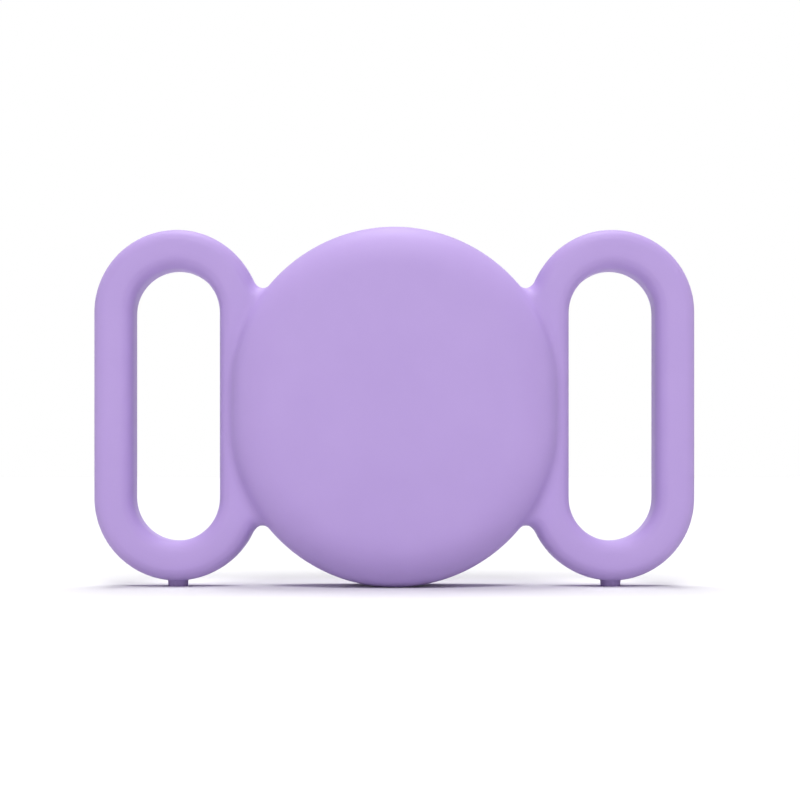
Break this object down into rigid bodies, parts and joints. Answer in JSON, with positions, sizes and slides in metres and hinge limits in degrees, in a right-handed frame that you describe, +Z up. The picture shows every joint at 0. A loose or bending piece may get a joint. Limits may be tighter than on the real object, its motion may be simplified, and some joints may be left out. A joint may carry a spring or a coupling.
{
  "type": "tracker tag holder",
  "caption": "Soft one-piece strap holder for a coin-shaped tracker: a closed oval pod with a rear pocket between tall oval strap loops, with the tag and its twist-off battery door inside.",
  "frame": {"origin": "on the surface that the holder stands on, under the middle of its width and depth", "axes": "+X across the holder, from the left loop to the right one as seen from the front; +Y from the closed front to the open back; +Z up, along the strap slots"},
  "size_m": [0.0644, 0.011, 0.0384],
  "materials": {
    "holder_silicone": "matte",
    "cover_plastic": "gloss",
    "frame_plastic": "satin",
    "carrier_plastic": "matte",
    "antenna_plating": "satin",
    "board_laminate": "satin",
    "shield_steel": "satin",
    "part_bodies": "matte",
    "coil_wire": "gloss",
    "magnet_plating": "polished",
    "yoke_steel": "satin",
    "contact_plating": "satin",
    "seal_rubber": "matte",
    "cell_steel": "satin",
    "gasket_plastic": "matte",
    "electrode_mix": "matte",
    "door_steel": "satin",
    "liner_plastic": "satin",
    "pad_foam": "matte"
  },
  "bodies": {
    "holder": {"holder_body": "holder_silicone", "rear_lip": "holder_silicone"},
    "tag": {"front_cover": "cover_plastic", "rear_frame": "frame_plastic", "antenna_carrier": "carrier_plastic", "antenna_strips": "antenna_plating", "circuit_board": "board_laminate", "shield_can": "shield_steel", "board_parts": "part_bodies", "voice_coil": "coil_wire", "speaker_magnet": "magnet_plating", "magnet_yoke": "yoke_steel", "positive_contacts": "contact_plating", "negative_contact": "contact_plating", "bay_seal": "seal_rubber", "cell_can": "cell_steel", "cell_cap": "cell_steel", "cell_gasket": "gasket_plastic", "cell_electrodes": "electrode_mix"},
    "battery_door": {"door_shell": "door_steel", "door_liner": "liner_plastic", "door_pad": "pad_foam"}
  },
  "joints": [
    {"name": "tag_slide", "type": "slide", "parent": "holder", "child": "tag", "axis": [0, 1, 0], "range_m": [0, 0.012], "deforming": ["rear_lip"]},
    {"name": "door_twist", "type": "hinge", "parent": "tag", "child": "battery_door", "pos_m": [0, 0.0038, 0.0192], "axis": [0, 1, 0], "range_deg": [0, 20]}
  ]
}
